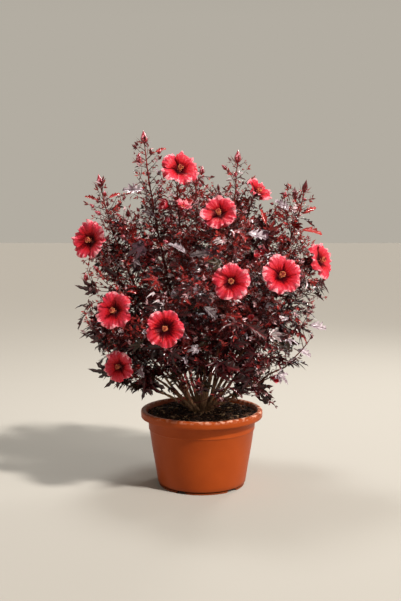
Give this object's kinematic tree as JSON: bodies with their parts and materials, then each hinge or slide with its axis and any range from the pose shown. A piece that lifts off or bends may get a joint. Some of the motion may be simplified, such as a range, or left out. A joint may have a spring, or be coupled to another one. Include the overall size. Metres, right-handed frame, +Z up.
{
  "type": "potted hibiscus shrub",
  "caption": "Dark-leaved hibiscus shrub with red saucer-shaped flowers, many stems fanning up from one woody crown in a round tapered pot that stands on its flat underside.",
  "frame": {"origin": "centre of the pot's flat underside", "axes": "+Z up along the pot's axis, -Y towards the side that is seen most, +X to the right of that side"},
  "size_m": [0.8346, 0.7594, 1.1458],
  "materials": {
    "pot": "satin",
    "soil": "matte",
    "bark": "matte",
    "stem": "satin",
    "foliage": "satin",
    "petals": "satin"
  },
  "bodies": {
    "root": {"pot": "pot", "potting_soil": "soil", "root_crown": "bark", "stem_left_spire": "stem", "foliage_left_spire": "foliage", "stem_right_spire": "stem", "foliage_right_spire": "foliage", "stem_right_shoulder": "stem", "foliage_right_shoulder": "foliage", "stem_left_shoulder": "stem", "foliage_left_shoulder": "foliage", "stem_back_spire": "stem", "foliage_back_spire": "foliage", "stem_top_bloom": "stem", "foliage_top_bloom": "foliage", "stem_high_front": "stem", "foliage_high_front": "foliage", "stem_high_right": "stem", "foliage_high_right": "foliage", "stem_high_back": "stem", "foliage_high_back": "foliage", "stem_left_bloom": "stem", "foliage_left_bloom": "foliage", "stem_right_bloom": "stem", "foliage_right_bloom": "foliage", "stem_back_left": "stem", "foliage_back_left": "foliage", "stem_back_right": "stem", "foliage_back_right": "foliage", "stem_front_middle": "stem", "foliage_front_middle": "foliage", "stem_front_right": "stem", "foliage_front_right": "foliage", "stem_left_middle": "stem", "foliage_left_middle": "foliage", "stem_back_middle": "stem", "foliage_back_middle": "foliage", "stem_front_low": "stem", "foliage_front_low": "foliage", "stem_left_low": "stem", "foliage_left_low": "foliage", "stem_right_low": "stem", "foliage_right_low": "foliage", "stem_far_left": "stem", "foliage_far_left": "foliage", "stem_low_right_bloom": "stem", "foliage_low_right_bloom": "foliage", "stem_front_right_low": "stem", "foliage_front_right_low": "foliage", "stem_front_left_low": "stem", "foliage_front_left_low": "foliage", "stem_back_right_low": "stem", "foliage_back_right_low": "foliage", "stem_back_left_low": "stem", "foliage_back_left_low": "foliage", "stem_back_low": "stem", "foliage_back_low": "foliage"}
  },
  "joints": []
}
